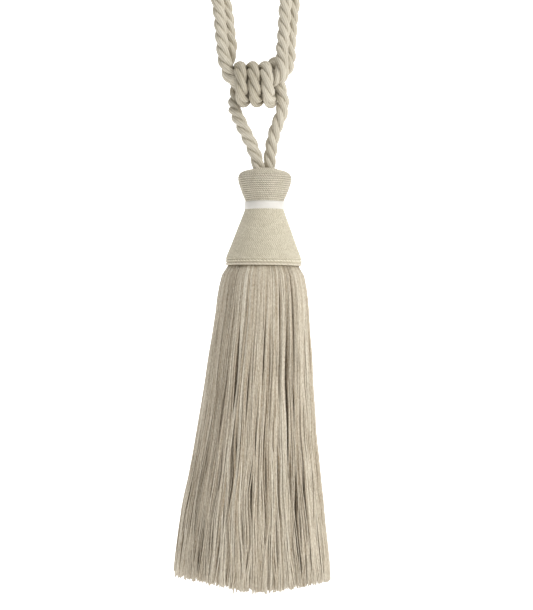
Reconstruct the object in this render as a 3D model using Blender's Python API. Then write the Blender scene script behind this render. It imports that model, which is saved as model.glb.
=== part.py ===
"""Curtain tieback tassel: a thick cord loop, the cord knotted round it, and the tassel that hangs from that cord.

The origin is the inner top of the loop, where a hook holds it. +Z is up, and -Y is the front.
Lengths below are in millimetres and are scaled by MM where a mesh or a curve is made.
"""

import math
import random

import bmesh
import bpy
from mathutils import Matrix, Vector

MM = 0.001

# Three-strand cord, laid left-handed.
CORD_DIAMETER = 8.4
CORD_LAY = 25.0
WRAP_LAY = 28.0  # the turns of the knot take some of the cord's twist out
CORD_STRANDS = 3
STEPS_PER_LAY = 8
GROOVE_SHARE = 0.66  # radius in the groove between two strands, as a share of the cord's

# Knot: the hanging cord's three turns round the doubled loop cord.
WRAPS = 3
WRAP_PITCH = 8.9
WRAP_HALF_HEIGHT = 11.0
WRAP_HALF_DEPTH = 13.8
WRAP_SQUARENESS = 0.86  # 1 is an ellipse, less is squarer
WRAP_BACK_SLANT = 2.0  # how much more of the pitch is taken up behind than in front
WRAP_STEP_DEG = 30
KNOT_LEFT = -11.0
KNOT_HEIGHT = -90.0

# The loop cord's route, twice round: x, depth (front is negative), z.
LOOP_FRONT_RUN = (
    (-8.2, -4.6, -88.5),
    (-11.4, -4.5, -88.4),
    (-15.1, -4.4, -87.0),
    (-18.6, -4.4, -83.6),
    (-20.4, -4.4, -78.6),
    (-21.5, -4.2, -73.0),
    (-22.2, -4.0, -65.7),
    (-23.2, -3.8, -56.0),
    (-23.9, -3.8, -46.0),
    (-25.6, -3.8, -34.0),
    (-26.6, -4.0, -23.0),
    (-25.0, -4.2, -12.0),
    (-19.0, -4.4, -2.0),
    (-9.5, -4.4, 3.2),
    (-0.5, -4.4, 4.4),
    (8.5, -4.4, 2.6),
    (16.5, -4.4, -3.8),
    (21.4, -4.3, -13.4),
    (21.4, -4.0, -24.0),
    (19.8, -3.8, -34.0),
    (19.0, -3.8, -46.0),
    (18.5, -4.0, -56.0),
    (17.7, -4.6, -64.5),
    (17.0, -6.6, -73.0),
    (17.2, -8.8, -79.5),
    (16.0, -8.3, -84.8),
    (12.6, -5.6, -88.0),
    (8.0, -4.4, -88.7),
    (3.0, -2.4, -88.7),
)
LOOP_BACK_RUN = (
    (-1.5, 1.6, -89.0),
    (-6.0, 4.1, -89.4),
    (-10.6, 4.4, -89.4),
    (-15.5, 4.4, -87.8),
    (-19.1, 4.5, -84.0),
    (-20.3, 4.6, -79.0),
    (-18.2, 4.5, -72.5),
    (-16.8, 4.2, -65.7),
    (-17.9, 3.9, -56.0),
    (-18.8, 3.8, -46.0),
    (-20.8, 3.8, -34.0),
    (-22.2, 4.0, -24.0),
    (-21.4, 4.3, -13.4),
    (-16.6, 4.4, -3.8),
    (-8.7, 4.4, 2.6),
    (0.5, 4.4, 4.4),
    (9.5, 4.4, 3.2),
    (19.0, 4.4, -2.0),
    (25.0, 4.2, -12.0),
    (26.4, 4.0, -23.0),
    (25.3, 3.8, -34.0),
    (23.9, 3.8, -46.0),
    (23.2, 4.0, -56.0),
    (22.4, 4.4, -64.5),
    (22.9, 6.4, -72.5),
    (22.0, 9.4, -78.2),
    (19.0, 11.0, -82.8),
    (15.7, 11.3, -85.6),
    (13.0, 10.3, -87.7),
    (10.7, 8.0, -89.0),
    (8.0, 4.9, -89.5),
)

# The hanging cord's route before and after its turns, from head to head.
HANGING_UP = (
    (1.5, -2.9, -146.0),
    (1.1, -2.9, -142.0),
    (-0.4, -2.9, -137.5),
    (-3.2, -2.6, -130.0),
    (-6.7, -1.6, -121.8),
    (-10.9, 0.6, -114.6),
    (-14.2, 4.2, -108.2),
    (-16.0, 9.7, -102.0),
    (-15.3, 13.0, -95.2),
    (-14.4, 13.8, -89.4),
)
HANGING_DOWN = (
    (10.2, 8.4, -100.4),
    (10.9, 15.3, -96.7),
    (11.6, 19.4, -90.5),
    (11.9, 19.4, -84.0),
    (12.1, 16.4, -78.4),
    (12.8, 11.2, -74.8),
    (14.0, 6.0, -75.2),
    (15.6, 3.0, -79.4),
    (16.6, 2.0, -84.6),
    (17.2, 2.0, -89.4),
    (17.6, 1.6, -95.0),
    (18.2, 1.2, -101.0),
    (17.0, 1.2, -109.0),
    (13.8, 1.6, -117.5),
    (11.3, 2.4, -126.0),
    (9.9, 2.9, -134.0),
    (8.9, 2.9, -141.5),
    (8.6, 2.9, -146.0),
)
TURNS_FROM, TURNS_TO = 66.0, 276.0  # how far along the hanging cord its turns start and end
ROUTE_SAMPLES = 24  # straight pieces that stand for one stretch of a route when it is measured

# The tassel hangs from the middle of its head's top. The head leans a little to the left and the skirt more.
HEAD_TOP = (5.45, 0.0, -147.0)
HEAD_LEAN_DEG = 0.86
CLEAR = 0.3
HEAD_SIDES = 24

# Head cup: its outline between the windings, radius at a depth under the head's top.
CUP_OUTLINE = ((14.4, 0.9), (16.6, 2.7), (17.6, 6.7), (16.6, 10.7), (15.0, 14.7), (13.3, 18.7), (12.5, 21.2))
CUP_WINDINGS = 16
CUP_RIB = 0.35
CUP_TOP_RADIUS = 13.4

# Band round the neck, and the cone with the neck it is turned with.
BAND_TOP = 21.5
BAND_FOOT = 26.0
BAND_OUTER = 12.9
BAND_INNER = 11.9
CONE_OUTLINE = ((12.8, 26.3), (14.1, 30.0), (16.6, 36.7), (19.0, 43.3), (21.5, 50.0), (23.8, 56.7), (24.8, 60.4))
CONE_FOOT = 64.0
CONE_FOOT_RADIUS = 21.7
RIM_RADIUS = 23.4
RIM_HALF_WIDTH = 1.35
RIM_DEPTH = 62.4
RIM_SIDES = 8

# Skirt: rings of locks, fused at their roots to a backing disc.
BACKING_TOP = 64.3
BACKING_FOOT = 66.3
BACKING_RADIUS = 23.6
BACKING_SIDES = 48
LOCK_ROOT = 65.6
RINGS = (  # locks in the ring, root radius, share of the skirt's radius, widest part of a lock, its thickness
    (92, 22.8, 0.99, 2.6, 2.2),
    (64, 19.2, 0.86, 2.9, 2.3),
    (44, 14.6, 0.69, 3.1, 2.5),
    (22, 8.2, 0.43, 3.3, 2.8),
)
SKIRT_OUTLINE = (  # depth, outside radius, width of a lock as a share of its widest, how far it hangs to the left
    (69.5, 26.2, 0.60, 0.0),
    (90.0, 30.5, 0.72, 0.3),
    (175.0, 39.9, 0.92, 3.2),
    (270.0, 51.8, 1.0, 4.6),
)
ROOT_WIDTH_SHARE = 0.46
RAGGED_HEM = 1.7
HEM_SLOPE = 0.027  # how much further the hem hangs on the right, as a share of the distance from the middle
HEM_RISE = 0.045  # how much higher it is at both sides than in front
SWAY_MM = 1.6
UNEVEN_SHARE = 0.012
STAGGER_SHARE = 0.06  # how far a lock's sections stand left and right of its middle, as a share of its room
SEED = 11


def clear_scene():
    for thing in list(bpy.data.objects):
        bpy.data.objects.remove(thing, do_unlink=True)


def material(name, colour, roughness):
    made = bpy.data.materials.new(name)
    made.use_nodes = True
    shader = made.node_tree.nodes["Principled BSDF"]
    shader.inputs["Base Color"].default_value = (*colour, 1.0)
    shader.inputs["Roughness"].default_value = roughness
    shader.inputs["Metallic"].default_value = 0.0
    return made


def add_object(name, mesh, finish):
    part = bpy.data.objects.new(name, mesh)
    bpy.context.collection.objects.link(part)
    mesh.materials.append(finish)
    return part


def smooth_route(points):
    """Close points along a smooth curve through the given ones (Catmull-Rom, spaced by the roots of the chords)."""
    points = [Vector(p) for p in points]
    points = [2 * points[0] - points[1], *points, 2 * points[-1] - points[-2]]
    route = []
    for p0, p1, p2, p3 in zip(points, points[1:], points[2:], points[3:]):
        t1 = (p1 - p0).length ** 0.5
        t2 = t1 + (p2 - p1).length ** 0.5
        t3 = t2 + (p3 - p2).length ** 0.5
        for i in range(ROUTE_SAMPLES):
            t = t1 + (t2 - t1) * i / ROUTE_SAMPLES
            a1 = p0.lerp(p1, t / t1)
            a2 = p1.lerp(p2, (t - t1) / (t2 - t1))
            a3 = p2.lerp(p3, (t - t2) / (t3 - t2))
            b1 = a1.lerp(a2, t / t2)
            b2 = a2.lerp(a3, (t - t1) / (t3 - t1))
            route.append(b1.lerp(b2, (t - t1) / (t2 - t1)))
    return [*route, points[-2]]


def evenly(route, step):
    """The route's points again, at even distances of about the given step."""
    lengths = [0.0]
    for a, b in zip(route, route[1:]):
        lengths.append(lengths[-1] + (b - a).length)
    count = max(2, round(lengths[-1] / step))
    spaced, i = [], 0
    for k in range(count + 1):
        wanted = lengths[-1] * k / count
        while i < len(route) - 2 and lengths[i + 1] < wanted:
            i += 1
        share = (wanted - lengths[i]) / (lengths[i + 1] - lengths[i])
        spaced.append(route[i].lerp(route[i + 1], share))
    return spaced


def wrap_points():
    """The hanging cord's turns: each goes over the top, down the front, under, and up the back."""
    points = []
    for degrees in range(-60, 360 * WRAPS - 179, WRAP_STEP_DEG):
        turn = math.radians(degrees)
        rise, front = math.cos(turn), math.sin(turn)
        x = KNOT_LEFT + WRAP_PITCH * degrees / 360 + WRAP_BACK_SLANT * (rise - 1) / 2
        y = -WRAP_HALF_DEPTH * math.copysign(abs(front) ** WRAP_SQUARENESS, front)
        z = KNOT_HEIGHT + WRAP_HALF_HEIGHT * math.copysign(abs(rise) ** WRAP_SQUARENESS, rise)
        points.append((x, y, z))
    return points


def cord_profile():
    """The cord's cross-section, with a rounded lobe for each strand. It is a guide and isn't part of the model."""
    curve = bpy.data.curves.new("cord_profile", "CURVE")
    curve.dimensions = "2D"
    spline = curve.splines.new("POLY")
    spline.use_cyclic_u = True
    sides = 3 * CORD_STRANDS
    spline.points.add(sides - 1)
    for i, point in enumerate(spline.points):
        radius = CORD_DIAMETER / 2 * MM * (GROOVE_SHARE if i % 3 == 0 else 1.0)
        angle = -2 * math.pi * i / sides
        point.co = (radius * math.cos(angle), radius * math.sin(angle), 0, 1)
    profile = bpy.data.objects.new("cord_profile", curve)
    bpy.context.collection.objects.link(profile)
    profile.hide_render = True
    profile.display_type = "WIRE"
    return profile


def cord(name, route_points, profile, finish, turns=(0.0, 0.0)):
    """A three-strand cord along a route: the lobed profile swept along it, turning once in each lay.

    The lay is longer in the knot's turns, which lie between the two given distances along the cord. The curve is
    drawn in mirror image and its scale turns it back, so that the sides' triangles run with the lay.
    """
    route = evenly(smooth_route(route_points), CORD_LAY / STEPS_PER_LAY)
    turned_by, along = 0.0, 0.0
    curve = bpy.data.curves.new(name, "CURVE")
    curve.dimensions = "3D"
    curve.twist_mode = "MINIMUM"
    curve.bevel_mode = "OBJECT"
    curve.bevel_object = profile
    curve.use_fill_caps = True
    spline = curve.splines.new("POLY")
    spline.points.add(len(route) - 1)
    for i, (point, place) in enumerate(zip(spline.points, route)):
        point.co = (-place.x * MM, place.y * MM, place.z * MM, 1)
        point.tilt = turned_by
        lay = WRAP_LAY if turns[0] <= along < turns[1] else CORD_LAY
        step = (route[min(i + 1, len(route) - 1)] - place).length
        turned_by += 2 * math.pi * step / lay
        along += step
    part = add_object(name, curve, finish)
    part.scale.x = -1
    return part


def place_in_head(mesh):
    """Moves a mesh made with its depth below the head's top along -Z to the leaning head."""
    lean = Matrix.Rotation(math.radians(HEAD_LEAN_DEG), 4, "Y")
    mesh.transform(Matrix.Translation(Vector(HEAD_TOP) * MM) @ lean)


def turned(name, outline, finish, closed=False, sides=HEAD_SIDES):
    """A turned solid from (radius, depth) points that run down its outside. A closed outline makes a ring."""
    form = bmesh.new()
    points = [form.verts.new((radius * MM, 0, -depth * MM)) for radius, depth in outline]
    edges = [form.edges.new(pair) for pair in zip(points, points[1:])]
    if closed:
        edges.append(form.edges.new((points[-1], points[0])))
    bmesh.ops.spin(
        form, geom=[*points, *edges], axis=(0, 0, 1), cent=(0, 0, 0),
        angle=2 * math.pi, steps=sides, use_merge=True,
    )
    bmesh.ops.remove_doubles(form, verts=form.verts, dist=1e-6)
    bmesh.ops.recalc_face_normals(form, faces=form.faces)
    mesh = bpy.data.meshes.new(name)
    form.to_mesh(mesh)
    form.free()
    place_in_head(mesh)
    mesh.shade_smooth()
    mesh.set_sharp_from_angle(angle=math.radians(40))
    return add_object(name, mesh, finish)


def read_outline(outline, depth):
    """The radius of a (radius, depth) outline at a depth, between its points in straight lines."""
    for (r0, d0), (r1, d1) in zip(outline, outline[1:]):
        if depth <= d1:
            return r0 + (r1 - r0) * (depth - d0) / (d1 - d0)
    return outline[-1][0]


def head_cup(finish):
    """The cup, with one raised rib for each turn of the cord wound on it."""
    top, foot = CUP_OUTLINE[0][1], CUP_OUTLINE[-1][1]
    pitch = (foot - top) / CUP_WINDINGS
    outline = [(0, 0), (CUP_TOP_RADIUS, 0)]
    for turn in range(CUP_WINDINGS):
        groove, crest = top + pitch * turn, top + pitch * (turn + 0.5)
        outline.append((read_outline(CUP_OUTLINE, groove) - CUP_RIB, groove))
        outline.append((read_outline(CUP_OUTLINE, crest) + CUP_RIB, crest))
    outline += [(CUP_OUTLINE[-1][0] - CUP_RIB, foot), (0, foot)]
    return turned("head_cup", outline, finish)


def neck_band(finish):
    outline = [
        (BAND_INNER, BAND_TOP), (BAND_OUTER, BAND_TOP), (BAND_OUTER, BAND_FOOT), (BAND_INNER, BAND_FOOT),
    ]
    return turned("neck_band", outline, finish, closed=True)


def head_cone(finish):
    """The cone, the neck that passes up through the band, and the foot that the rim cord lies round."""
    neck = BAND_INNER - CLEAR
    outline = [
        (0, BAND_TOP), (neck, BAND_TOP), (neck, CONE_OUTLINE[0][1]), *CONE_OUTLINE,
        (CONE_FOOT_RADIUS, CONE_OUTLINE[-1][1] + CLEAR), (CONE_FOOT_RADIUS, CONE_FOOT), (0, CONE_FOOT),
    ]
    return turned("head_cone", outline, finish)


def rim_cord(finish):
    outline = []
    for i in range(RIM_SIDES):
        angle = 2 * math.pi * (i + 0.5) / RIM_SIDES
        outline.append((RIM_RADIUS + RIM_HALF_WIDTH * math.cos(angle), RIM_DEPTH + RIM_HALF_WIDTH * math.sin(angle)))
    return turned("rim_cord", outline, finish, closed=True)


def lock_sections(ring, index, chance):
    """Where one lock runs: (radius, angle, depth, width, thickness, drift) at its root and at each section."""
    count, root, share, width, thickness = ring
    angle = 2 * math.pi * index / count
    around = 2 * math.pi / count
    uneven = 1 + UNEVEN_SHARE * (1 if index % 2 else -1) + UNEVEN_SHARE * math.sin(7 * angle + count)
    hem = chance.uniform(-RAGGED_HEM, RAGGED_HEM)
    sections = [(root, angle, LOCK_ROOT, width * ROOT_WIDTH_SHARE, thickness * ROOT_WIDTH_SHARE, 0.0)]
    for i, (depth, outside, full, drift) in enumerate(SKIRT_OUTLINE):
        last = i == len(SKIRT_OUTLINE) - 1
        radius = outside * share * (uneven if i else 1)
        sway = SWAY_MM * math.sin(3 * angle + 1.7 * i + count) * (i / len(SKIRT_OUTLINE)) / radius
        turned_by = angle + sway + STAGGER_SHARE * around * (-1) ** i
        side = math.cos(angle)
        lower = hem + radius * (HEM_SLOPE * side - HEM_RISE * side ** 2) if last else 0.0
        sections.append((radius, turned_by, depth + lower, width * full, thickness * full, drift))
    return sections


def lock_triangle(form, radius, angle, depth, width, thickness, drift):
    """The three corners of a lock's section: one on its outer ridge and two behind it."""
    out = Vector((math.cos(angle), math.sin(angle), 0))
    along = Vector((-out.y, out.x, 0))
    place = out * (radius - thickness / 2) - Vector((drift, 0, depth))
    corners = (place + out * thickness / 2, place + along * width / 2 - out * thickness / 2,
               place - along * width / 2 - out * thickness / 2)
    return [form.verts.new(corner * MM) for corner in corners]


def lock(form, sections):
    rings = [lock_triangle(form, *section) for section in sections]
    form.faces.new(reversed(rings[0]))
    for upper, lower in zip(rings, rings[1:]):
        for i in range(3):
            j = (i + 1) % 3
            form.faces.new((upper[i], lower[i], lower[j], upper[j]))
    form.faces.new(rings[-1])


def tassel_skirt(finish):
    """The backing disc and, joined to it, the rings of hanging locks."""
    backing = turned(
        "tassel_skirt",
        [(0, BACKING_TOP), (BACKING_RADIUS, BACKING_TOP), (BACKING_RADIUS, BACKING_FOOT), (0, BACKING_FOOT)],
        finish, sides=BACKING_SIDES,
    )
    chance = random.Random(SEED)
    form = bmesh.new()
    for ring in RINGS:
        for index in range(ring[0]):
            lock(form, lock_sections(ring, index, chance))
    bmesh.ops.recalc_face_normals(form, faces=form.faces)
    mesh = bpy.data.meshes.new("skirt_locks")
    form.to_mesh(mesh)
    form.free()
    place_in_head(mesh)
    locks = add_object("skirt_locks", mesh, finish)
    locks.hide_render = True
    locks.display_type = "WIRE"
    join = backing.modifiers.new("locks", "BOOLEAN")
    join.operation = "UNION"
    join.solver = "EXACT"
    join.object = locks
    return backing


def main():
    clear_scene()
    cord_yarn = material("cord_yarn", (0.60, 0.54, 0.42), 0.65)
    head_yarn = material("head_yarn", (0.58, 0.52, 0.41), 0.6)
    satin = material("band_satin", (0.86, 0.84, 0.78), 0.4)
    skirt_yarn = material("skirt_yarn", (0.52, 0.46, 0.37), 0.6)
    profile = cord_profile()
    cord("embrace_cord", [*LOOP_FRONT_RUN, *LOOP_BACK_RUN], profile, cord_yarn)
    cord(
        "hanging_cord", [*HANGING_UP, *wrap_points(), *HANGING_DOWN], profile, cord_yarn, (TURNS_FROM, TURNS_TO),
    )
    head_cup(head_yarn)
    neck_band(satin)
    head_cone(head_yarn)
    rim_cord(head_yarn)
    tassel_skirt(skirt_yarn)


main()
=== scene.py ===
"""Curtain tieback tassel: yarns, windings and ribbon over the solids, with the camera, lights and backdrop.

Lengths below are in millimetres and are scaled by MM where a mesh is made. The origin is the inner top of
the cord loop, +Z is up and -Y is the front.
"""

import math
from collections import namedtuple

import bmesh
import bpy
import numpy as np
from mathutils import Matrix, Vector


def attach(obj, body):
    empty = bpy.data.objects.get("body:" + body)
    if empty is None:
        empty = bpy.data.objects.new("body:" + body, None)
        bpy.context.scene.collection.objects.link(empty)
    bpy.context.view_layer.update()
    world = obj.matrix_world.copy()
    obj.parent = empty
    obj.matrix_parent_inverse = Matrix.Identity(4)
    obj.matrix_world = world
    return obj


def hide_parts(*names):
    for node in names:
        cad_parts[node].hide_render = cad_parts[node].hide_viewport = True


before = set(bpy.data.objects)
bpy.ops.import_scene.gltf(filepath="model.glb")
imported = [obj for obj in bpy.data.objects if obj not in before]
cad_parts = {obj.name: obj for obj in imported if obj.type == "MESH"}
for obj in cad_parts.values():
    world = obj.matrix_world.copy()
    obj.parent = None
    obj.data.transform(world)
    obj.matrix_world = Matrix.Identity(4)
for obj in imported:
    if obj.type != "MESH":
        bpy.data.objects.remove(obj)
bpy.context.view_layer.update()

MM = 0.001
TINY = 1e-6  # in metres or radians
WHITE = (1.0, 1.0, 1.0, 1.0)

# Camera, level with the middle of the tassel.
CAMERA_PLACE = (7.0, -960.0, -237.0)
LENS = 85.0
FILM_HEIGHT = 36.0

# Lights: place, width, power and colour. All face the middle of the tassel.
LIGHTS = {
    "key": ((820, -640, 240), 420, 6.5, (1.0, 1.0, 0.98)),
    "fill": ((-900, -900, -150), 900, 0.5, (1.0, 0.98, 0.94)),
    "top": ((60, -150, 700), 600, 2.6, (1.0, 1.0, 1.0)),
}
AIM = (5.0, 0.0, -230.0)
AMBIENT = 0.45

# Backdrop: a floor well below the tassel that sweeps up into a wall.
FLOOR_HEIGHT = -640.0
STAGE_HALF_WIDTH = 2600.0
STAGE_FRONT = -1500.0
STAGE_BACK = 900.0
STAGE_TOP = 1300.0
STAGE_SWEEP = 300.0
SWEEP_STEPS = 12
PAPER_COLOUR = (0.95, 0.95, 0.95, 1.0)
PAPER_GLOW = 0.62

# Three-strand cord, laid left-handed. The strands press on each other a little.
CORD_DIAMETER = 8.4
DECLARED_STEP = CORD_DIAMETER / 3  # between the points of a cord's path without its sunken ends
CORD_LAY = 25.0
WRAP_LAY = 28.0  # the hanging cord's lay is drawn out in its turns
TURNS_FROM, TURNS_TO = 66.0, 276.0  # where the turns lie along the hanging cord
STRANDS = 3
STRAND_RADIUS = 2.12
STRAND_OFFSET = 2.3
STRAND_STEP = 1.0
STRAND_YARNS = 9
STRAND_YARN_DEPTH = 0.07  # groove between two yarns, as a share of the strand's radius
STRAND_SIDES = 36
YARN_TURN = 0.05  # how far a strand's yarns turn round it at each step
LOBE_POWER = 0.7  # less makes a cross-section's lobes broader, with sharper grooves between them
SHARP_DEG = 70  # an edge with a sharper bend isn't shaded smooth
SINK = 3.0  # how far the hanging cord's ends go on into the head
KNOT_SHADE = 0.26  # painted shade: how much darker the knot's turns are, as if they lay in each other's shade
KNOT_FADE = 9.0  # half the length over which that begins and ends

# Knot: the hanging cord's three turns round the doubled loop cord.
WRAPS = 3
WRAP_PITCH = 8.3
WRAP_HALF_HEIGHT = 11.0
WRAP_HALF_DEPTH = 13.8
WRAP_SQUARENESS = 0.86  # 1 is an ellipse, less is squarer
WRAP_BACK_SLANT = 2.0  # how much of the pitch a turn makes up behind instead of in front
WRAP_SPREAD = 0.65  # how much less that is at each turn than at the one before, so that they part below
WRAP_STEP_DEG = 30
WRAP_EARLY_DEG = 60  # how far before the top of the first turn they start
WRAP_SHORT_DEG = 180  # how much of the last turn is left to the route after them
KNOT_LEFT = -11.0
KNOT_HEIGHT = -90.0

# The loop cord's route, twice round: x, depth (front is negative), z.
LOOP_FRONT_RUN = (
    (-8.2, -4.6, -88.5),
    (-11.4, -4.5, -87.9),
    (-14.9, -4.4, -86.0),
    (-18.0, -4.4, -82.6),
    (-20.0, -4.4, -78.0),
    (-21.5, -4.2, -73.0),
    (-22.2, -4.0, -65.7),
    (-23.2, -3.8, -56.0),
    (-23.9, -3.8, -46.0),
    (-25.6, -3.8, -34.0),
    (-26.6, -4.0, -23.0),
    (-25.0, -4.2, -12.0),
    (-19.0, -4.4, -2.0),
    (-9.5, -4.4, 3.2),
    (-0.5, -4.4, 4.4),
    (8.5, -4.4, 2.6),
    (16.5, -4.4, -3.8),
    (21.4, -4.3, -13.4),
    (21.4, -4.0, -24.0),
    (19.8, -3.8, -34.0),
    (19.0, -3.8, -46.0),
    (18.5, -4.0, -56.0),
    (17.7, -4.6, -64.5),
    (17.0, -6.6, -73.0),
    (17.2, -8.8, -79.5),
    (16.0, -8.3, -84.8),
    (12.6, -5.6, -88.0),
    (8.0, -4.4, -88.7),
    (3.0, -2.4, -88.7),
)
LOOP_BACK_RUN = (
    (-1.5, 1.6, -89.0),
    (-6.0, 4.1, -89.4),
    (-10.6, 4.4, -88.6),
    (-15.2, 4.4, -86.6),
    (-18.4, 4.5, -82.9),
    (-19.4, 4.6, -78.4),
    (-18.2, 4.5, -72.5),
    (-16.8, 4.2, -65.7),
    (-17.9, 3.9, -56.0),
    (-18.8, 3.8, -46.0),
    (-20.8, 3.8, -34.0),
    (-22.2, 4.0, -24.0),
    (-21.4, 4.3, -13.4),
    (-16.6, 4.4, -3.8),
    (-8.7, 4.4, 2.6),
    (0.5, 4.4, 4.4),
    (9.5, 4.4, 3.2),
    (19.0, 4.4, -2.0),
    (25.0, 4.2, -12.0),
    (26.4, 4.0, -23.0),
    (25.3, 3.8, -34.0),
    (23.9, 3.8, -46.0),
    (23.2, 4.0, -56.0),
    (22.4, 4.4, -64.5),
    (22.3, 6.4, -72.5),
    (20.9, 9.4, -77.6),
    (18.0, 11.0, -81.6),
    (15.1, 11.3, -84.8),
    (13.0, 10.3, -87.7),
    (10.7, 8.0, -89.0),
    (8.0, 4.9, -89.5),
)

# The hanging cord's route before and after its turns, from head to head.
HANGING_UP = (
    (1.5, -2.9, -146.0),
    (1.1, -2.9, -142.0),
    (-0.4, -2.9, -137.5),
    (-3.2, -2.6, -130.0),
    (-7.3, -1.6, -121.8),
    (-10.7, 0.6, -114.6),
    (-13.7, 4.2, -108.2),
    (-14.8, 9.9, -102.0),
    (-13.9, 13.6, -95.2),
    (-13.3, 14.2, -89.4),
)
HANGING_DOWN = (
    (9.9, 8.4, -100.4),
    (10.5, 15.3, -96.7),
    (10.8, 19.4, -90.5),
    (10.8, 19.4, -84.0),
    (11.0, 16.4, -78.4),
    (11.8, 11.2, -74.8),
    (13.2, 6.0, -75.2),
    (14.4, 3.0, -79.4),
    (15.3, 1.7, -84.6),
    (15.6, 1.6, -89.4),
    (16.6, 1.6, -95.0),
    (17.8, 1.2, -101.0),
    (17.0, 1.2, -109.0),
    (13.8, 1.6, -117.5),
    (11.3, 2.4, -126.0),
    (9.9, 2.9, -134.0),
    (8.9, 2.9, -141.5),
    (8.6, 2.9, -146.0),
)
ROUTE_SAMPLES = 24  # straight pieces that stand for one stretch of a route

# The tassel hangs from the middle of its head's top and leans a little to the left.
HEAD_TOP = (6.0, 0.0, -147.0)
HEAD_LEAN_DEG = 0.86
TURN_POINTS = 48  # of a winding's route, in each turn
PLIES = 2
PLY_SIDES = 6
FORM_SIDES = 64

# Cup: the line that its fine two-ply cord is wound on, as radius and depth under the head's top.
CUP_LINE = (
    (6.3, -0.35), (7.5, -0.3), (9.0, 0.5), (12.2, 1.15), (14.2, 1.75), (16.0, 2.8), (17.15, 4.4), (17.4, 6.4),
    (16.6, 9.8), (15.4, 13.1), (14.1, 16.5), (12.3, 20.6), (12.0, 21.4),
)
GIMP_PITCH = 1.38
GIMP_RADIUS = 0.74
GIMP_WAIST = 0.7  # radius between the two plies, as a share of the widest
GIMP_STEP = 0.36
GIMP_TURN = 0.8  # how far the plies turn round each other at each step
CORE_INSET = 0.3  # how far the forms lie inside the windings' lines
FLAT_TOP_RADIUS, FLAT_TOP_DEPTH = 12.0, 3.0  # within these the cup's line is its flat top

# Ribbon round the neck, a little higher on the right.
RIBBON_LINE = ((12.3, 21.0), (13.1, 21.3), (13.3, 22.6), (13.3, 24.6), (13.25, 26.3), (12.3, 26.8))
RIBBON_INSIDE = 11.7  # radius of its hidden inner side
RIBBON_SIDES = 96
RIBBON_TILT_DEG = -1.2

# Cone: the line that its thread is wound on, and the coarser turns at its foot.
CONE_LINE = (
    (12.5, 26.2), (13.8, 30.0), (15.05, 33.3), (16.35, 36.7), (17.6, 40.0), (18.8, 43.3), (20.1, 46.7),
    (21.3, 50.0), (22.6, 53.3), (23.85, 56.4), (24.6, 58.4), (24.95, 60.0),
)
THREAD_PITCH = 0.88
THREAD_RADIUS = 0.5
THREAD_WAIST = 0.62
THREAD_STEP = 0.42
THREAD_TURN = 0.95
FOOT_LINE = ((24.95, 60.7), (24.9, 61.6))
FOOT_PITCH = 0.9
FOOT_RADIUS = 0.6
FOOT_WAIST = 0.92
FOOT_TURN = 0.5
CONE_FOOT = 63.6
CONE_FOOT_RADIUS = 23.2

# Rim cord under the cone.
RIM_RADIUS = 24.3
RIM_DEPTH = 63.0
RIM_THICKNESS = 0.9
RIM_WAIST = 0.9
RIM_STEP = 0.4
RIM_TURN = 0.5
RIM_SIDES = 10

# Skirt: yarns from under the rim to an uneven hem, gathered in clumps with grooves between them.
SKIRT_LINE = (  # depth, radius
    (63.4, 23.2), (65.0, 24.5), (66.7, 25.9), (70.0, 27.5), (74.0, 28.6), (78.0, 29.3), (86.0, 30.6),
    (94.0, 31.3), (110.0, 33.0), (126.0, 34.8), (142.0, 36.2), (158.0, 38.3), (174.0, 40.0), (190.0, 42.3),
    (206.0, 44.7), (222.0, 47.3), (238.0, 49.3), (254.0, 51.2), (264.0, 52.2), (280.0, 52.6),
)
SKIRT_DRIFT = (  # depth, how far it hangs to the left
    (66.0, 0.0), (94.0, 0.2), (110.0, 0.7), (126.0, 1.2), (142.0, 1.8), (158.0, 2.2), (174.0, 2.9),
    (190.0, 3.2), (206.0, 3.9), (222.0, 4.5), (240.0, 4.5), (280.0, 4.2),
)
HEM = 271.2
HEM_RISE = (  # from the left (-1) to the right side (1), how much higher the hem is there
    (-1.0, 3.0), (-0.8, 4.2), (-0.5, 3.4), (-0.2, 1.6), (0.0, 0.4), (0.2, 0.4), (0.5, 1.2), (0.8, 2.2),
    (1.0, 0.6),
)
HEM_RAGGED = 0.7  # spread of the yarns' lengths
HEM_STEP = 0.4  # spread of whole clumps' lengths
SHORT_SHARE, SHORT_BY = 0.3, 1.2  # the share of yarns that are cut shorter, and how much on average

YARN_RADIUS = 0.44
YARN_THICKNESS = (0.75, 1.15)  # thinnest and thickest, as a share of that
ROOT_THICKNESS = 0.8  # at the root, as a share of its own
THICK_AFTER = 3  # it has its full thickness from a third of its length on
YARN_SIDES = 4
YARN_RINGS = 23
RING_SPACING = 1.1  # over 1 sets the rings closer at the root
SKIRT_LAYERS = (  # yarns, inner and outer share of the skirt's radius, how far the grooves shape them
    (1500, 0.955, 1.0, 1.0),
    (800, 0.87, 0.955, 0.8),
    (420, 0.7, 0.87, 0.4),
    (260, 0.12, 0.7, 0.2),
)
YARNS_PER_PIECE = 750
SEED = 11

# Clumps of yarns, and the finer wisps in them. Their widths are uneven by the spread. A groove between two is
# open by its usual share, give or take the change, over the spans down the skirt.
CLUMPS = {"count": 60, "spread": 0.42, "spans": (50, 180), "usual": 0.38, "change": 0.42}
WISPS = {"count": 190, "spread": 0.3, "spans": (30, 110), "usual": 0.46, "change": 0.42}
GROOVE_SPREAD = 0.3  # of the usual share
CLUMP_PULL, WISP_PULL = 0.42, 0.4  # how far an open groove pushes its yarns together
GROOVE_DEPTH, WISP_DEPTH = 2.7, 0.8
GROOVE_POWER = 2.4  # more makes the grooves narrower
CLUMP_SWAY, WISP_SWAY = 0.7, 1.2  # in shares of half a clump's width
SWAY_STRETCH = 1.6  # the sway's spans, as a share of the groove's
SUNKEN_SPANS, SUNKEN_BY = (90, 300), 0.8  # over which lengths whole clumps sink in, and how far
WAVES = 3  # sines that make one irregular wave

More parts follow.
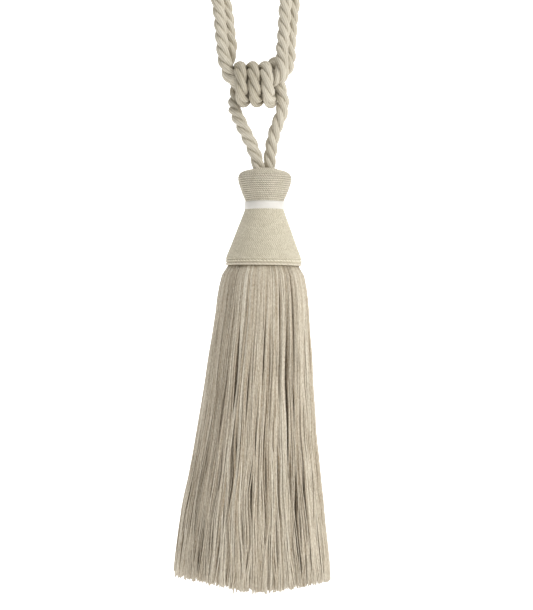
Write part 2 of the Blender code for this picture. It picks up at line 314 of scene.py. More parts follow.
# The grooves open under the rim, and from a share of the way down they close towards the hem.
OPEN_WITHIN = 75.0
OPENING_POWER = 0.7
WISPS_AT_ROOT = 0.25  # how far the wisps' own grooves are open at the root
CLOSING_FROM = 0.7
CLOSED_BY = 0.85
STILLED_BY = 0.5  # how much less the yarns sway at the hem
CALMED_BY = 0.35  # how much less their tints differ there

# Each yarn's own bends: sideways curls and outward bows at the root, and how much more there is at the hem.
CURL_SPANS, CURL_AT_ROOT, CURL_MORE = (8, 18), 0.1, 0.4
BOW_SPANS, BOW_AT_ROOT, BOW_MORE = (9, 22), 0.05, 0.14
LEAN, LEAN_POWER = 0.6, 1.5
END_LEAN, END_POWER, END_FROM = 0.9, 1.6, 0.78  # the last share of the way, where the ends part
END_FREEDOM = 3  # less makes a few ends lean much more than the rest
LOOSE_SHARE, LOOSE_LEAN, LOOSE_POWER = 0.13, 9.0, 1.8  # outer yarns that cross their neighbours
LOOSE_OUT, LOOSE_OVER = 0.35, 0.8  # how far they stand out, and pass over the grooves
INMOST = 6.0  # bends don't grow any further inside this radius

# Tints from dark (0) to light (1).
TINT, TINT_SPREAD, TINT_ALONG = 0.55, 0.17, 0.35
CLUMP_TONE, WISP_TONE = 0.03, 0.1
GROOVE_SHADE, INNER_SHADE = 0.3, 2.2


class Wire:
    """One value in a material. Sums and products of wires add the Math nodes that work them out."""

    def __init__(self, finish, socket):
        self.finish, self.socket = finish, socket

    def __add__(self, other):
        return self.finish.maths("ADD", self, other)

    def __sub__(self, other):
        return self.finish.maths("SUBTRACT", self, other)

    def __rsub__(self, other):
        return self.finish.maths("SUBTRACT", other, self)

    def __mul__(self, other):
        return self.finish.maths("MULTIPLY", self, other)

    __radd__, __rmul__ = __add__, __mul__


class Finish:
    """A material. Its shader's constant values are set at once, and its patterns are joined on with set."""

    def __init__(self, name, **values):
        self.material = bpy.data.materials.new(name)
        self.material.use_nodes = True
        self.tree = self.material.node_tree
        self.shader = self.tree.nodes["Principled BSDF"]
        for socket, value in values.items():
            self.shader.inputs[socket.replace("_", " ")].default_value = value

    def node(self, kind, settings=None, values=None, out=0):
        """A node's output. Its settings are set before its sockets get their values or links."""
        made = self.tree.nodes.new(kind)
        for name, value in (settings or {}).items():
            setattr(made, name, value)
        for key, value in (values or {}).items():
            if isinstance(value, Wire):
                self.tree.links.new(value.socket, made.inputs[key])
            else:
                made.inputs[key].default_value = value
        return Wire(self, made.outputs[out])

    def maths(self, operation, a, b=None):
        values = {0: a} if b is None else {0: a, 1: b}
        return self.node("ShaderNodeMath", {"operation": operation}, values)

    def set(self, socket, wire):
        self.tree.links.new(wire.socket, self.shader.inputs[socket])

    def blend(self, factor, a, b):
        """The colour between two colours, at a factor."""
        settings = {"data_type": "RGBA", "blend_type": "MIX"}
        return self.node("ShaderNodeMix", settings, {0: factor, 6: (*a, 1.0), 7: (*b, 1.0)}, out=2)

    def noise(self, place, often, detail=2.0, rough=0.5):
        """Noise that repeats about as often as given in each direction of a place."""
        stretched = self.node("ShaderNodeVectorMath", {"operation": "MULTIPLY"}, {0: place, 1: often})
        values = {"Vector": stretched, "Scale": 1.0, "Detail": detail, "Roughness": rough}
        return self.node("ShaderNodeTexNoise", {}, values)

    def ramp(self, value, start, end):
        """0 before the start and 1 after the end, and smooth between them."""
        settings = {"interpolation_type": "SMOOTHSTEP"}
        return self.node("ShaderNodeMapRange", settings, {0: value, 1: start, 2: end})

    def bump(self, height, strength, distance):
        values = {"Strength": strength, "Distance": distance, "Height": height}
        self.set("Normal", self.node("ShaderNodeBump", {}, values))


def shade(red, green, blue):
    """A colour given by its three display values from 0 to 255, in the renderer's own scale."""
    values = (v / 255 for v in (red, green, blue))
    return tuple(v / 12.92 if v <= 0.04045 else ((v + 0.055) / 1.055) ** 2.4 for v in values)


CORD_DARK, CORD_LIGHT = shade(148, 138, 116), shade(218, 211, 195)
HEAD_DARK, HEAD_LIGHT = shade(132, 121, 96), shade(238, 231, 214)
CONE_DARK, CONE_LIGHT = shade(156, 144, 114), shade(249, 243, 225)
RIM_DARK, RIM_LIGHT = shade(166, 156, 134), shade(232, 224, 206)
SKIRT_DARK, SKIRT_LIGHT = shade(147, 126, 96), shade(230, 223, 206)
SATIN_DARK, SATIN_LIGHT = shade(206, 202, 193), shade(228, 225, 219)

PATCHY = 0.5  # how much the slow patches change a yarn's tone
LEVEL_HEIGHT = 0.7  # height over a winding's line, in its radii, with neither painted shade nor painted light; spots below it get painted shade and spots above it painted light
SPECKS = (1400.0, 1400.0, 520.0)  # in a metre, finer across the skirt than down it
TINTED, SPECKLED, SKIRT_SHIFT = 0.75, 1.3, 0.48


def spun_yarn(name, dark, light, fibre, slow, lines, crest_shade, hairy, shaded=0.0, level=0.0, knotted=None):
    """Yarn drawn on a piece's own map, in millimetres along it and once round it.

    Its fibres and slow patches repeat as often as given along and round it, and its tone has a number of
    lines round it: painted light on the crests of its yarns or plies and painted shade in the grooves between
    them. A winding can get more painted shade in its grooves and painted light on its crests, by how far each
    spot stands out of them. Between two distances along it, where it is knotted, a cord can be darker with
    painted shade, as if its turns lay in each other's shade.
    """
    finish = Finish(name, Roughness=0.68)
    place = finish.node("ShaderNodeUVMap", {"uv_map": "yarn"})
    hairs = finish.noise(place, (*fibre, 1.0), detail=3.0, rough=0.6)
    patches = finish.noise(place, (*slow, 1.0))
    along = finish.node("ShaderNodeSeparateXYZ", {}, {0: place})
    turn = finish.node("ShaderNodeSeparateXYZ", {}, {0: place}, out=1)
    # Painted shade in the grooves between a strand's yarns or a cord's plies, and painted light on their
    # crests.
    crest = finish.maths("COSINE", turn * (2 * math.pi * lines))
    middle = 0.5 - (hairy + PATCHY) / 2 + level
    tone = hairs * hairy + patches * PATCHY + crest * crest_shade + middle
    if shaded:
        # Painted shade in a winding's grooves and painted light on its crests, by each spot's height.
        raised = finish.node("ShaderNodeAttribute", {"attribute_name": "raised"}, out=2)
        tone = tone + (raised - LEVEL_HEIGHT) * shaded
    # Painted shade on the knot's turns, where they lie in each other's shade.
    if knotted:
        begun = finish.ramp(along, knotted[0] - KNOT_FADE, knotted[0] + KNOT_FADE)
        ended = finish.ramp(along, knotted[1] - KNOT_FADE, knotted[1] + KNOT_FADE)
        tone = tone - (begun - ended) * KNOT_SHADE
    finish.set("Base Color", finish.blend(tone, dark, light))
    finish.bump(hairs, strength=0.25, distance=0.0004)
    return finish.material


def cord_finish(name, level, knotted=None):
    return spun_yarn(name, CORD_DARK, CORD_LIGHT, fibre=(0.5, 14.0), slow=(0.09, 2.0), lines=STRAND_YARNS,
                     crest_shade=0.19, hairy=0.65, level=level, knotted=knotted)


def gimp_finish():
    return spun_yarn("gimp_yarn", HEAD_DARK, HEAD_LIGHT, fibre=(0.9, 3.0), slow=(0.2, 1.0), lines=PLIES,
                     crest_shade=0.2, hairy=0.9, shaded=0.28)


def thread_finish():
    return spun_yarn("cone_thread", CONE_DARK, CONE_LIGHT, fibre=(0.8, 2.0), slow=(0.2, 1.0), lines=PLIES,
                     crest_shade=0.3, hairy=1.0, shaded=0.12)


def rim_finish():
    return spun_yarn("rim_yarn", RIM_DARK, RIM_LIGHT, fibre=(0.9, 5.0), slow=(0.05, 1.0), lines=PLIES,
                     crest_shade=0.12, hairy=0.6)


def ribbon_finish():
    finish = Finish("band_satin", Roughness=0.38)
    place = finish.node("ShaderNodeUVMap", {"uv_map": "yarn"})
    ribs = finish.noise(place, (9.0, 0.5, 1.0))
    soft = finish.noise(place, (0.35, 0.8, 1.0))
    finish.set("Base Color", finish.blend(ribs * 0.5 + soft * 0.5, SATIN_DARK, SATIN_LIGHT))
    finish.bump(ribs, strength=0.15, distance=0.0003)
    return finish.material


def skirt_finish():
    finish = Finish("skirt_yarn", Roughness=0.62)
    tint = finish.node("ShaderNodeAttribute", {"attribute_name": "tint"}, out=2)
    place = finish.node("ShaderNodeTexCoord", out=3)
    specks = finish.noise(place, SPECKS, rough=0.7)
    tone = tint * TINTED + specks * SPECKLED - SKIRT_SHIFT
    finish.set("Base Color", finish.blend(tone, SKIRT_DARK, SKIRT_LIGHT))
    return finish.material


def set_camera():
    camera = bpy.data.cameras.new("camera")
    camera.lens = LENS
    camera.sensor_fit = "VERTICAL"
    camera.sensor_height = FILM_HEIGHT
    holder = bpy.data.objects.new("camera", camera)
    bpy.context.collection.objects.link(holder)
    holder.location = Vector(CAMERA_PLACE) * MM
    holder.rotation_euler = (math.radians(90), 0, 0)
    bpy.context.scene.camera = holder


def set_lights():
    for name, (place, size, power, colour) in LIGHTS.items():
        light = bpy.data.lights.new(name, "AREA")
        light.size = size * MM
        light.energy = power
        light.color = colour
        holder = bpy.data.objects.new(name, light)
        bpy.context.collection.objects.link(holder)
        holder.location = Vector(place) * MM
        aim = Vector(AIM) * MM - holder.location
        holder.rotation_euler = aim.to_track_quat("-Z", "Y").to_euler()
    world = bpy.data.worlds.new("studio")
    world.use_nodes = True
    ground = world.node_tree.nodes["Background"]
    ground.inputs["Color"].default_value = WHITE
    ground.inputs["Strength"].default_value = AMBIENT
    bpy.context.scene.world = world
    bpy.context.scene.view_settings.view_transform = "Standard"


def add_stage():
    """A pale floor that sweeps up into the backdrop behind the tassel."""
    form = bmesh.new()
    line = [(STAGE_FRONT, FLOOR_HEIGHT)]
    for i in range(SWEEP_STEPS + 1):
        angle = math.radians(90 * i / SWEEP_STEPS)
        line.append((STAGE_BACK - STAGE_SWEEP + STAGE_SWEEP * math.sin(angle),
                     FLOOR_HEIGHT + STAGE_SWEEP - STAGE_SWEEP * math.cos(angle)))
    line.append((STAGE_BACK, STAGE_TOP))
    points = [form.verts.new((-STAGE_HALF_WIDTH * MM, y * MM, z * MM)) for y, z in line]
    edges = [form.edges.new(pair) for pair in zip(points, points[1:])]
    grown = bmesh.ops.extrude_edge_only(form, edges=edges)
    moved = [v for v in grown["geom"] if isinstance(v, bmesh.types.BMVert)]
    bmesh.ops.translate(form, verts=moved, vec=(2 * STAGE_HALF_WIDTH * MM, 0, 0))
    bmesh.ops.recalc_face_normals(form, faces=form.faces)
    paper = Finish("backdrop_paper", Base_Color=PAPER_COLOUR, Roughness=0.9,
                   Emission_Color=WHITE, Emission_Strength=PAPER_GLOW)
    stage = finished("backdrop", form, paper.material)


def finished(name, form, material):
    """An object from a bmesh, which it frees."""
    mesh = bpy.data.meshes.new(name)
    form.to_mesh(mesh)
    form.free()
    mesh.shade_smooth()
    return add_piece(name, mesh, material)


def add_piece(name, mesh, material):
    mesh.materials.clear()
    mesh.materials.append(material)
    piece = bpy.data.objects.new(name, mesh)
    bpy.context.collection.objects.link(piece)
    return piece


def declare(piece, slot, *nodes):
    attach(piece, "root")
    if nodes:
        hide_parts(*nodes)


def place_in_head(mesh):
    """Moves a mesh made with its depth below the head's top along -Z to the leaning head."""
    lean = Matrix.Rotation(math.radians(HEAD_LEAN_DEG), 4, "Y")
    mesh.transform(Matrix.Translation(Vector(HEAD_TOP) * MM) @ lean)


def smooth_route(points):
    """Close points along a smooth curve through the given ones, a Catmull-Rom spaced by its chords' roots."""
    points = [Vector(p) for p in points]
    points = [2 * points[0] - points[1], *points, 2 * points[-1] - points[-2]]
    route = []
    for p0, p1, p2, p3 in zip(points, points[1:], points[2:], points[3:]):
        t1 = (p1 - p0).length ** 0.5
        t2 = t1 + (p2 - p1).length ** 0.5
        t3 = t2 + (p3 - p2).length ** 0.5
        for i in range(ROUTE_SAMPLES):
            t = t1 + (t2 - t1) * i / ROUTE_SAMPLES
            a1 = p0.lerp(p1, t / t1)
            a2 = p1.lerp(p2, (t - t1) / (t2 - t1))
            a3 = p2.lerp(p3, (t - t2) / (t3 - t2))
            b1 = a1.lerp(a2, t / t2)
            b2 = a2.lerp(a3, (t - t1) / (t3 - t1))
            route.append(b1.lerp(b2, (t - t1) / (t2 - t1)))
    return [*route, points[-2]]


def evenly(route, step):
    """The route's points again, at even distances of about the given step."""
    lengths = [0.0]
    for a, b in zip(route, route[1:]):
        lengths.append(lengths[-1] + (b - a).length)
    count = max(2, round(lengths[-1] / step))
    spaced, i = [], 0
    for k in range(count + 1):
        wanted = lengths[-1] * k / count
        while i < len(route) - 2 and lengths[i + 1] < wanted:
            i += 1
        share = (wanted - lengths[i]) / (lengths[i + 1] - lengths[i])
        spaced.append(route[i].lerp(route[i + 1], share))
    return spaced


def wrap_points():
    """The hanging cord's turns: each goes over the top, down the front, under, and up the back."""
    points = []
    for degrees in range(-WRAP_EARLY_DEG, 360 * WRAPS - WRAP_SHORT_DEG + 1, WRAP_STEP_DEG):
        turn = math.radians(degrees)
        rise, front = math.cos(turn), math.sin(turn)
        slant = WRAP_BACK_SLANT - WRAP_SPREAD * degrees / 360
        x = KNOT_LEFT + WRAP_PITCH * degrees / 360 + slant * (rise - 1) / 2
        y = -WRAP_HALF_DEPTH * math.copysign(abs(front) ** WRAP_SQUARENESS, front)
        z = KNOT_HEIGHT + WRAP_HALF_HEIGHT * math.copysign(abs(rise) ** WRAP_SQUARENESS, rise)
        points.append((x, y, z))
    return points


def lobed_profile(radius, lobes, waist, sides):
    """A cross-section with rounded lobes, drawn so that a swept tube faces outwards."""
    curve = bpy.data.curves.new("profile", "CURVE")
    curve.dimensions = "2D"
    spline = curve.splines.new("POLY")
    spline.use_cyclic_u = True
    spline.points.add(sides - 1)
    for i, point in enumerate(spline.points):
        angle = -2 * math.pi * i / sides
        lobe = abs(math.cos(lobes * angle / 2)) ** LOBE_POWER
        reach = radius * MM * (waist + (1 - waist) * lobe)
        point.co = (reach * math.cos(angle), reach * math.sin(angle), 0, 1)
    profile = bpy.data.objects.new("profile", curve)
    bpy.context.collection.objects.link(profile)
    return profile


def swept(name, routes, profile, turn, material, closed=False):
    """One mesh of tubes along routes. Its map "yarn" runs in millimetres along each and once round it."""
    curve = bpy.data.curves.new(name, "CURVE")
    curve.dimensions = "3D"
    curve.twist_mode = "MINIMUM"
    curve.bevel_mode = "OBJECT"
    curve.bevel_object = profile
    curve.use_fill_caps = not closed
    for route in routes:
        spline = curve.splines.new("POLY")
        spline.points.add(len(route) - 1)
        spline.use_cyclic_u = closed
        for i, (point, place) in enumerate(zip(spline.points, route)):
            point.co = (*(place * MM), 1)
            point.tilt = turn * i % (2 * math.pi)
    holder = bpy.data.objects.new(name, curve)
    bpy.context.collection.objects.link(holder)
    mesh = bpy.data.meshes.new_from_object(holder.evaluated_get(bpy.context.evaluated_depsgraph_get()))
    bpy.data.objects.remove(holder)
    bpy.data.objects.remove(profile)
    length = sum((b - a).length for a, b in zip(routes[0], routes[0][1:]))
    layer = mesh.uv_layers[0]
    layer.name = "yarn"
    places = np.empty(len(mesh.loops) * 2, np.float32)
    layer.data.foreach_get("uv", places)
    places = places.reshape(-1, 2) * (length, 1.0)
    layer.data.foreach_set("uv", places.astype(np.float32).ravel())
    mesh.shade_smooth()
    mesh.set_sharp_from_angle(angle=math.radians(SHARP_DEG))
    mesh.name = name
    return add_piece(name, mesh, material)


def strands(route, knotted):
    """The routes of a cord's strands. They turn left-handed round it, and more slowly where it is knotted."""
    along = [(b - a).normalized() for a, b in zip(route, route[1:])]
    along.append(along[-1])
    side = along[0].orthogonal().normalized()
    laid = [[] for _ in range(STRANDS)]
    step = (route[1] - route[0]).length
    turned = 0.0
    for i, (place, ahead) in enumerate(zip(route, along)):
        side = (side - ahead * side.dot(ahead)).normalized()
        across = ahead.cross(side)
        for k, strand in enumerate(laid):
            angle = 2 * math.pi * k / STRANDS - turned
            strand.append(place + (side * math.cos(angle) + across * math.sin(angle)) * STRAND_OFFSET)
        turned += 2 * math.pi * step / (WRAP_LAY if knotted[0] <= i * step < knotted[1] else CORD_LAY)
    return laid


def cord(name, points, material, sink=0.0, knotted=(0.0, 0.0)):
    """A three-strand cord. Its ends may sink into the head, and it may be knotted between two distances."""
    points = [Vector(p) for p in points]
    declared = evenly(smooth_route(points), DECLARED_STEP)
    points[0] += (points[0] - points[1]).normalized() * sink
    points[-1] += (points[-1] - points[-2]).normalized() * sink
    route = evenly(smooth_route(points), STRAND_STEP)
    profile = lobed_profile(STRAND_RADIUS, STRAND_YARNS, 1 - STRAND_YARN_DEPTH, STRAND_SIDES)
    piece = swept(name, strands(route, knotted), profile, YARN_TURN, material)
    length = sum((b - a).length for a, b in zip(declared, declared[1:]))
    declare(piece, "cord_yarn", name.replace("_strands", ""))
    declared[0] * MM
    [p * MM for p in declared]


def line_at(line, share):
    """The point at a share of a line of (radius, depth) points."""
    lengths = [0.0]
    for (r0, d0), (r1, d1) in zip(line, line[1:]):
        lengths.append(lengths[-1] + math.hypot(r1 - r0, d1 - d0))
    wanted = share * lengths[-1]
    radius = float(np.interp(wanted, lengths, [p[0] for p in line]))
    return radius, float(np.interp(wanted, lengths, [p[1] for p in line]))


def line_length(line):
    return sum(math.hypot(r1 - r0, d1 - d0) for (r0, d0), (r1, d1) in zip(line, line[1:]))


def wound(line, pitch):
    """A winding's route round the head, down a line of (radius, depth) points."""
    turns = line_length(line) / pitch
    route = []
    for i in range(round(turns * TURN_POINTS) + 1):
        radius, depth = line_at(line, i / (turns * TURN_POINTS))
        angle = -2 * math.pi * i / TURN_POINTS
        route.append(Vector((radius * math.cos(angle), radius * math.sin(angle), -depth)))
    return route


def turned(name, line, sides, material, closed=False, tilt=0.0):
    """A turned form from (radius, depth) points, with the map "yarn" in millimetres round and down."""
    form = bmesh.new()
    points = [form.verts.new((radius * MM, 0, -depth * MM)) for radius, depth in line]
    edges = [form.edges.new(pair) for pair in zip(points, points[1:])]
    if closed:
        edges.append(form.edges.new((points[-1], points[0])))
    bmesh.ops.spin(
        form, geom=[*points, *edges], axis=(0, 0, 1), cent=(0, 0, 0),
        angle=2 * math.pi, steps=sides, use_merge=True,
    )
    bmesh.ops.remove_doubles(form, verts=form.verts, dist=TINY)
    bmesh.ops.recalc_face_normals(form, faces=form.faces)
    places = form.loops.layers.uv.new("yarn")
    widest = max(radius for radius, depth in line)
    for face in form.faces:
        middle = face.calc_center_median()
        towards = math.atan2(middle.y, middle.x)
        for loop in face.loops:
            spot = loop.vert.co
            angle = math.atan2(spot.y, spot.x) if spot.xy.length > TINY else towards
            angle += 2 * math.pi * round((towards - angle) / (2 * math.pi))
            loop[places].uv = (angle * widest, -spot.z / MM)
    piece = finished(name, form, material)
    if tilt:
        middle = Matrix.Translation((0, 0, -sum(depth for radius, depth in line) / len(line) * MM))
        piece.data.transform(middle @ Matrix.Rotation(math.radians(tilt), 4, "Y") @ middle.inverted())
    place_in_head(piece.data)
    return piece


def height_over(line, places):
    """How far (radius, depth) places lie outside a line of such points."""
    line = np.array(line)
    nearest = np.full(len(places), np.inf)
    height = np.zeros(len(places))
    for start, end in zip(line, line[1:]):
        ahead = end - start
        share = np.clip((places - start) @ ahead / (ahead @ ahead), 0, 1)
        away = places - start - share[:, None] * ahead
        far = np.hypot(away[:, 0], away[:, 1])
        side = np.sign(away[:, 0] * ahead[1] - away[:, 1] * ahead[0])
        height = np.where(far < nearest, side * far, height)
        nearest = np.minimum(far, nearest)
    return height


def winding(name, line, pitch, radius, waist, step, turn, material):
    """Two-ply cord wound on a line of (radius, depth) points. It keeps each spot's height over that line."""
    route = evenly(wound(line, pitch), step)
    piece = swept(name, [route], lobed_profile(radius, PLIES, waist, PLY_SIDES), turn, material)
    spots = np.empty(len(piece.data.vertices) * 3, np.float32)
    piece.data.vertices.foreach_get("co", spots)
    spots = spots.reshape(-1, 3) / MM
    places = np.stack([np.hypot(spots[:, 0], spots[:, 1]), -spots[:, 2]], axis=1)
    raised = height_over(line, places) / radius
    layer = piece.data.attributes.new("raised", "FLOAT", "POINT")
    layer.data.foreach_set("value", raised.astype(np.float32))
    place_in_head(piece.data)
    return piece


def form_under(name, line, material):
    """The plain form that a winding lies on."""
    inner = []
    for radius, depth in line:
        flat = radius < FLAT_TOP_RADIUS and depth < FLAT_TOP_DEPTH
        inner.append((radius - CORE_INSET, depth + CORE_INSET * flat))
    return turned(name, [(0, inner[0][1]), *inner, (0, inner[-1][1])], FORM_SIDES, material)


def head_cup(material):
    """The fine cord wound on the cup, from the hanging cord's foot to the neck, and the form under it."""
    gimp = GIMP_PITCH, GIMP_RADIUS, GIMP_WAIST, GIMP_STEP, GIMP_TURN
    cup = winding("cup_winding", CUP_LINE, *gimp, material)
    declare(cup, "head_yarn", "head_cup")
    declare(form_under("cup_form", CUP_LINE, material), "head_yarn")


def neck_ribbon(material):
    inside = [(RIBBON_INSIDE, RIBBON_LINE[-1][1]), (RIBBON_INSIDE, RIBBON_LINE[0][1])]
    ribbon = turned("neck_ribbon", [*RIBBON_LINE, *inside], RIBBON_SIDES, material, closed=True,
                    tilt=RIBBON_TILT_DEG)
    declare(ribbon, "band_satin", "neck_band")


def head_cone(material):
    """The thread wound on the cone, the coarser turns at its foot, and the form under them."""
    thread = THREAD_PITCH, THREAD_RADIUS, THREAD_WAIST, THREAD_STEP, THREAD_TURN
    cone = winding("cone_winding", CONE_LINE, *thread, material)
    declare(cone, "head_yarn", "head_cone")
    coarser = FOOT_PITCH, FOOT_RADIUS, FOOT_WAIST, GIMP_STEP, FOOT_TURN
    foot = winding("cone_foot_turns", FOOT_LINE, *coarser, material)
    declare(foot, "head_yarn")
    under = [*CONE_LINE, *FOOT_LINE, (CONE_FOOT_RADIUS + CORE_INSET, CONE_FOOT)]
    declare(form_under("cone_form", under, material), "head_yarn")


def rim_cord(material):
    """A twisted cord round the cone's foot, whose plies make whole turns so that it closes."""
    count = round(2 * math.pi * RIM_RADIUS / RIM_STEP)
    ring = []
    for i in range(count):
        angle = 2 * math.pi * i / count
        ring.append(Vector((RIM_RADIUS * math.cos(angle), RIM_RADIUS * math.sin(angle), -RIM_DEPTH)))
    turn = 2 * math.pi * round(RIM_TURN * count / (2 * math.pi)) / count
    profile = lobed_profile(RIM_THICKNESS, PLIES, RIM_WAIST, RIM_SIDES)
    rim = swept("rim_cord_twist", [ring], profile, turn, material, closed=True)
    place_in_head(rim.data)
    declare(rim, "head_yarn", "rim_cord")


def level_wave(dice, count, spans):
    """For each of a number of things, a smooth irregular value of depth from about -1 to 1."""
    steps = 2 * math.pi / dice.uniform(*spans, (WAVES, count, 1))
    starts = dice.uniform(0, 2 * math.pi, (WAVES, count, 1))

    def at(which, depth):
        return sum(np.sin(q[which] * depth + s[which]) for q, s in zip(steps, starts)) / WAVES ** 0.5

    return at


# The clump that each yarn is in, half that clump's width, and how far across it (-1 to 1) the yarn is.
Spot = namedtuple("Spot", "which half across")


class Clumps:
    """Uneven shares of the way round, with a groove between every two that deepens and fades on its way."""

    def __init__(self, dice, count, spread, spans, usual, change):
        widths = dice.lognormal(0, spread, count)
        self.edges = np.concatenate([[0.0], np.cumsum(widths) / widths.sum() * 2 * math.pi])
        self.edges[-1] += TINY
        self.count = count
        self.usual = dice.normal(usual, GROOVE_SPREAD, count)
        self.change = change
        self.strength = level_wave(dice, count, spans)
        self.sway = level_wave(dice, count, [SWAY_STRETCH * span for span in spans])
        self.sunken = level_wave(dice, count, SUNKEN_SPANS)
        self.hem = dice.normal(0, HEM_STEP, count)
        self.tone = dice.normal(0, 1, count)

    def find(self, angle):
        """The spot of the yarn at each angle."""
        angle = np.mod(angle, 2 * math.pi)
        which = np.searchsorted(self.edges, angle, side="right") - 1
        half = (self.edges[which + 1] - self.edges[which]) / 2
        return Spot(which, half[:, None], ((angle - self.edges[which] - half) / half)[:, None])

    def groove(self, spot, depth):
        """How open the groove on a yarn's own side of its clump is, from 0 to 1."""
        edge = (spot.which + (spot.across[:, 0] > 0)) % self.count
        return np.clip(self.usual[edge][:, None] + self.change * self.strength(edge, depth), 0, 1)


def past(free, start):
    """From 0 at a share of the way down to 1 at the hem."""
    return np.clip((free - start) / (1 - start), 0, 1)


def hem_depths(dice, angle, stepped):
    """The depth of each yarn's end, where the clumps' ends are stepped."""
    hem = HEM - np.interp(np.cos(angle), [side for side, rise in HEM_RISE], [rise for side, rise in HEM_RISE])
    hem += stepped + dice.normal(0, HEM_RAGGED, len(angle))
    return hem - dice.exponential(SHORT_BY, len(angle)) * (dice.random(len(angle)) < SHORT_SHARE)


def own_bends(dice, depth, free, outermost):
    """How far each yarn strays sideways and outwards by itself, and which ones are loose."""
    count = len(depth)
    starts = dice.uniform(0, 2 * math.pi, (count, 2))
    sideways = np.sin(depth / dice.uniform(*CURL_SPANS, (count, 1)) + starts[:, :1])
    sideways *= CURL_AT_ROOT + CURL_MORE * free ** LEAN_POWER
    sideways += dice.normal(0, LEAN, (count, 1)) * free ** LEAN_POWER
    sideways += dice.standard_t(END_FREEDOM, (count, 1)) * END_LEAN * past(free, END_FROM) ** END_POWER
    loose = (dice.random((count, 1)) < LOOSE_SHARE) & outermost
    sideways += loose * dice.uniform(-LOOSE_LEAN, LOOSE_LEAN, (count, 1)) * free ** LOOSE_POWER
    outwards = np.sin(depth / dice.uniform(*BOW_SPANS, (count, 1)) + starts[:, 1:])
    return sideways, outwards * (BOW_AT_ROOT + BOW_MORE * free), loose


def yarn_tints(dice, tone, closing, shadow):
    """Tints down each yarn, which even out towards the hem and are darker in the shadow."""
    count = len(tone)
    tints = dice.normal(TINT, TINT_SPREAD, (count, YARN_RINGS)) * TINT_ALONG
    tints += dice.normal(TINT, TINT_SPREAD, (count, 1)) * (1 - TINT_ALONG) + tone[:, None]
    return np.clip(TINT + (tints - TINT) * (1 - CALMED_BY * closing) - shadow, 0, 1)


def yarn_paths(dice, clumps, wisps, count, inner, outer, shaped):
    """Yarn centres, one row a yarn, with the angle of each, the yarns' thickness and their tints."""
    angle = (np.arange(count) + dice.uniform(-0.5, 0.5, count)) * 2 * math.pi / count
    share = np.sqrt(dice.uniform(inner ** 2, outer ** 2, count))[:, None]
    clump, wisp = clumps.find(angle), wisps.find(angle)

    root = SKIRT_LINE[0][0]
    hem = hem_depths(dice, angle, clumps.hem[clump.which] + wisps.hem[wisp.which])
    depth = root + (hem - root)[:, None] * np.linspace(0, 1, YARN_RINGS) ** RING_SPACING
    free = np.clip((depth - root) / (HEM - root), 0, 1)
    closing = past(free, CLOSING_FROM)
    opening = np.clip((depth - root) / OPEN_WITHIN, 0, 1) ** OPENING_POWER * (1 - CLOSED_BY * closing)
    grooved = clumps.groove(clump, depth) * opening * shaped
    parted = wisps.groove(wisp, depth) * (WISPS_AT_ROOT + (1 - WISPS_AT_ROOT) * opening) * shaped
    strays, bow, loose = own_bends(dice, depth, free, outer >= 1.0)

    groove = GROOVE_DEPTH * grooved * np.abs(clump.across) ** GROOVE_POWER
    groove += WISP_DEPTH * parted * wisp.across ** 2
    sunken = np.clip(clumps.sunken(clump.which, depth), 0, 1) * SUNKEN_BY * opening * shaped
    radius = np.interp(depth, [d for d, r in SKIRT_LINE], [r for d, r in SKIRT_LINE]) * share - YARN_RADIUS
    radius += bow + loose * LOOSE_OUT - groove * (1 - LOOSE_OVER * loose) - sunken

    swaying = free * (1 - STILLED_BY * closing) * shaped
    path = angle[:, None] + strays / np.maximum(radius, INMOST)
    path -= clump.half * clump.across * CLUMP_PULL * grooved + wisp.half * wisp.across * WISP_PULL * parted
    path += clump.half * CLUMP_SWAY * clumps.sway(clump.which, depth) * swaying
    path += wisp.half * WISP_SWAY * wisps.sway(wisp.which, depth) * swaying

    drift = np.interp(depth, [d for d, s in SKIRT_DRIFT], [s for d, s in SKIRT_DRIFT])
    centres = np.stack([radius * np.cos(path) - drift, radius * np.sin(path), -depth], axis=2)
    thick = YARN_RADIUS * dice.uniform(*YARN_THICKNESS, (count, 1))
    thick = thick * (ROOT_THICKNESS + (1 - ROOT_THICKNESS) * np.minimum(free * THICK_AFTER, 1))
    tone = CLUMP_TONE * clumps.tone[clump.which] + WISP_TONE * wisps.tone[wisp.which]
    shadow = GROOVE_SHADE * grooved * clump.across ** 2 + INNER_SHADE * (1 - share)
    return centres, path, thick, yarn_tints(dice, tone, closing, shadow)


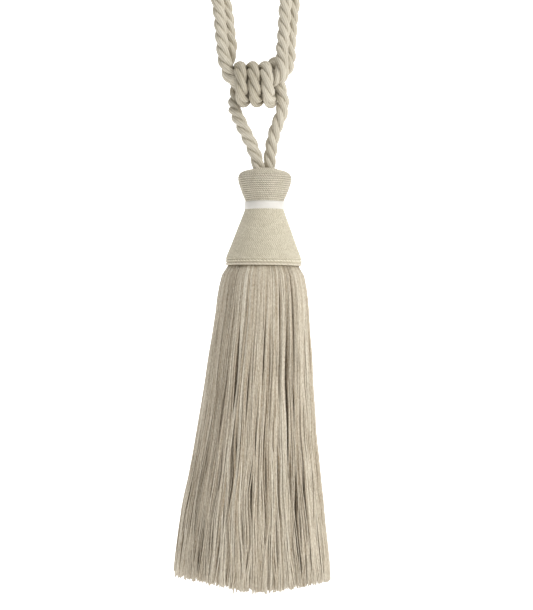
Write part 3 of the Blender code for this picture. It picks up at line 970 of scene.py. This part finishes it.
def yarns(name, centres, angle, thick, tints, material):
    """One mesh of thin yarns, closed at both ends."""
    count, rings = centres.shape[:2]
    out = np.stack([np.cos(angle), np.sin(angle), np.zeros_like(angle)], axis=2)
    side = np.stack([-out[..., 1], out[..., 0], out[..., 2]], axis=2)
    sides = []
    for k in range(YARN_SIDES):
        turn = 2 * math.pi * k / YARN_SIDES
        sides.append(centres + (out * math.cos(turn) + side * math.sin(turn)) * thick[..., None])
    spots = np.stack(sides, axis=2).reshape(-1, 3) * MM
    first = (np.arange(count) * rings * YARN_SIDES)[:, None, None]
    ring = (np.arange(rings - 1) * YARN_SIDES)[None, :, None]
    k = np.arange(YARN_SIDES)
    after, below = (k + 1) % YARN_SIDES, k + YARN_SIDES
    quads = np.stack([first + ring + k, first + ring + below, first + ring + YARN_SIDES + after,
                      first + ring + after], axis=3)
    start = np.arange(count)[:, None] * rings * YARN_SIDES
    caps = np.concatenate([start + k, start + rings * YARN_SIDES - 1 - k])
    corners = np.concatenate([quads.ravel(), caps.ravel()]).astype(np.int32)
    sizes = np.concatenate([np.full(quads.size // 4, 4), np.full(len(caps), YARN_SIDES)])
    mesh = bpy.data.meshes.new(name)
    mesh.vertices.add(len(spots))
    mesh.vertices.foreach_set("co", spots.astype(np.float32).ravel())
    mesh.loops.add(len(corners))
    mesh.loops.foreach_set("vertex_index", corners)
    mesh.polygons.add(len(sizes))
    mesh.polygons.foreach_set("loop_start", np.concatenate([[0], np.cumsum(sizes)[:-1]]).astype(np.int32))
    mesh.update(calc_edges=True)
    mesh.validate()
    layer = mesh.attributes.new("tint", "FLOAT", "POINT")
    layer.data.foreach_set("value", np.repeat(tints.ravel(), YARN_SIDES).astype(np.float32))
    mesh.shade_smooth()
    place_in_head(mesh)
    return add_piece(name, mesh, material)


def tassel_skirt(material):
    dice = np.random.default_rng(SEED)
    clumps = Clumps(dice, **CLUMPS)
    wisps = Clumps(dice, **WISPS)
    pieces = []
    for layer in SKIRT_LAYERS:
        parts = yarn_paths(dice, clumps, wisps, *layer)
        total = len(parts[0])
        shares = math.ceil(total / YARNS_PER_PIECE)
        for k in range(shares):
            some = slice(k * total // shares, (k + 1) * total // shares)
            name = f"skirt_yarns_{len(pieces) + 1}"
            pieces.append(yarns(name, *(part[some] for part in parts), material))
    declare(pieces[0], "skirt_yarn", "tassel_skirt")
    for piece in pieces[1:]:
        declare(piece, "skirt_yarn")


def main():
    set_camera()
    knotted = SINK + TURNS_FROM, SINK + TURNS_TO
    loop_route = [*LOOP_FRONT_RUN, *LOOP_BACK_RUN]
    hanging_route = [*HANGING_UP, *wrap_points(), *HANGING_DOWN]
    cord("embrace_cord_strands", loop_route, cord_finish("cord_yarn", 0.08))
    cord("hanging_cord_strands", hanging_route, cord_finish("hanging_yarn", 0.1, knotted),
         sink=SINK, knotted=knotted)
    head_cup(gimp_finish())
    neck_ribbon(ribbon_finish())
    head_cone(thread_finish())
    rim_cord(rim_finish())
    tassel_skirt(skirt_finish())
    add_stage()
    set_lights()


main()
